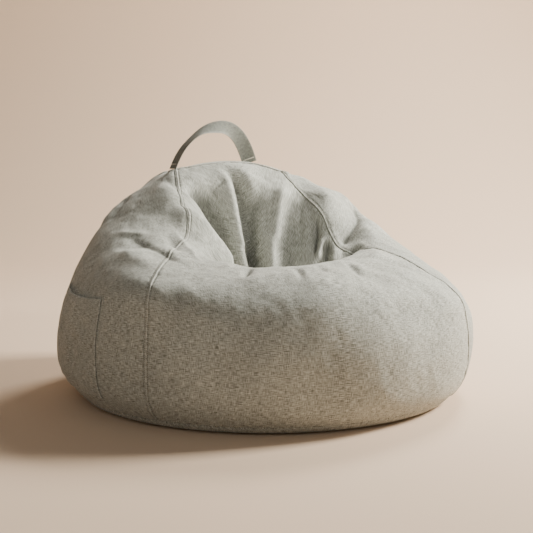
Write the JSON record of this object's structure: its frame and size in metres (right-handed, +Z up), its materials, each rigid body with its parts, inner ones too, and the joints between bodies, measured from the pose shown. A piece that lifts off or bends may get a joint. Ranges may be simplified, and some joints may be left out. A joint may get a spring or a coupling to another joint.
{
  "type": "bean bag chair",
  "caption": "Round bean bag chair with a raised back, a front lip, a webbing carry handle, a flat side pocket and a zip across the back.",
  "frame": {"origin": "centre of the flat underside where the bag stands on the floor", "axes": "+Z up, the front of the seat faces -Y, and +X is the right side for someone who stands in front and looks at it"},
  "size_m": [0.9595, 0.956, 0.6186],
  "materials": {
    "linen_cover": "woven, heathered",
    "linen_webbing": "woven webbing",
    "thread": "matte",
    "liner_cloth": "plain woven",
    "polystyrene_beads": "matte",
    "zip_tape": "herringbone tape",
    "zip_teeth": "moulded",
    "zip_metal": "satin",
    "label_satin": "satin, blank"
  },
  "bodies": {
    "bag": {"front_panel": "linen_cover", "right_side_panel": "linen_cover", "back_panel": "linen_cover", "left_side_panel": "linen_cover", "top_cap": "linen_cover", "base_panel": "linen_cover", "side_pocket": "linen_cover", "pocket_bartack_front": "thread", "pocket_bartack_back": "thread", "care_label": "label_satin", "handle_foot_left": "linen_webbing", "handle_foot_right": "linen_webbing", "handle_bartack_left": "thread", "handle_bartack_right": "thread", "liner_front_half": "liner_cloth", "liner_back_half": "liner_cloth", "bead_fill": "polystyrene_beads", "outer_zip_tape_upper": "zip_tape", "outer_zip_tape_lower": "zip_tape", "outer_zip_teeth_upper": "zip_teeth", "outer_zip_teeth_lower": "zip_teeth", "outer_zip_top_stop": "zip_metal", "outer_zip_bottom_stop": "zip_metal", "outer_zip_garage": "linen_cover", "liner_zip_tape_upper": "zip_tape", "liner_zip_tape_lower": "zip_tape", "liner_zip_coil_upper": "zip_teeth", "liner_zip_coil_lower": "zip_teeth"},
    "handle": {"carry_handle": "linen_webbing"},
    "outer_slider": {"outer_zip_slider": "zip_metal"},
    "outer_pull": {"outer_zip_pull": "zip_metal"},
    "inner_slider": {"liner_zip_slider": "zip_metal", "liner_zip_pull": "zip_metal"}
  },
  "joints": [
    {"name": "handle_flop", "type": "hinge", "parent": "bag", "child": "handle", "pos_m": [-0.04165, 0.28469, 0.53839], "axis": [0.9689, 0.2446, 0.0372], "range_deg": [-80, 70], "deforming": ["handle_foot_left", "handle_foot_right"]},
    {"name": "outer_zip_travel", "type": "hinge", "parent": "bag", "child": "outer_slider", "pos_m": [0, 0, 0.02945], "axis": [0, 0, 1], "range_deg": [0, 100.8]},
    {"name": "outer_zip_pull_flip", "type": "hinge", "parent": "outer_slider", "child": "outer_pull", "pos_m": [0.33882, 0.29518, 0.0268], "axis": [-0.4999, -0.4355, -0.7486], "range_deg": [0, 170]},
    {"name": "liner_zip_travel", "type": "hinge", "parent": "bag", "child": "inner_slider", "pos_m": [0, 0, 0.0972], "axis": [0, 0, 1], "range_deg": [0, 46]}
  ]
}
